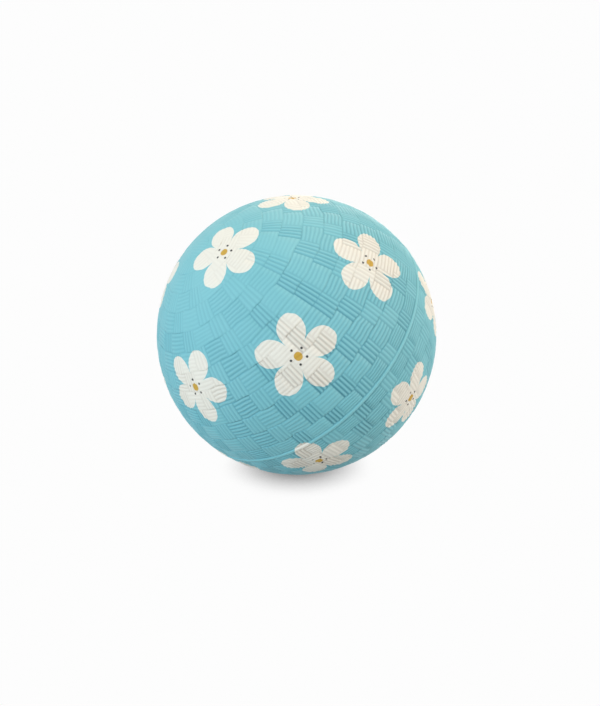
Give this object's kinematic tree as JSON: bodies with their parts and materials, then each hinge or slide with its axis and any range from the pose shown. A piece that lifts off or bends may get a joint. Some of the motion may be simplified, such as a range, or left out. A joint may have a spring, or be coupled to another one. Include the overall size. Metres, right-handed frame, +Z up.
{
  "type": "playground ball",
  "caption": "Hollow inflatable rubber play ball with a moulded basket-weave cover, a parting line round the middle, an inner bladder and a self-sealing needle valve.",
  "frame": {"origin": "centre of the ball", "axes": "+Z up with the ball at rest on its pressed-flat floor patch, -Y towards the viewer of the picture; the valve axis points down, back and to the right, 49.5 degrees from -Z"},
  "size_m": [0.18, 0.18, 0.1795],
  "materials": {
    "cover_rubber": "moulded satin rubber with a basket weave and an off-white print",
    "bladder_rubber": "natural rubber, dull",
    "valve_rubber": "moulded dark rubber",
    "core_rubber": "soft pale rubber"
  },
  "bodies": {
    "root": {"plain_cover_half": "cover_rubber", "valve_cover_half": "cover_rubber", "bladder": "bladder_rubber", "valve_patch": "valve_rubber", "valve_housing": "valve_rubber", "valve_core": "core_rubber"}
  },
  "joints": []
}
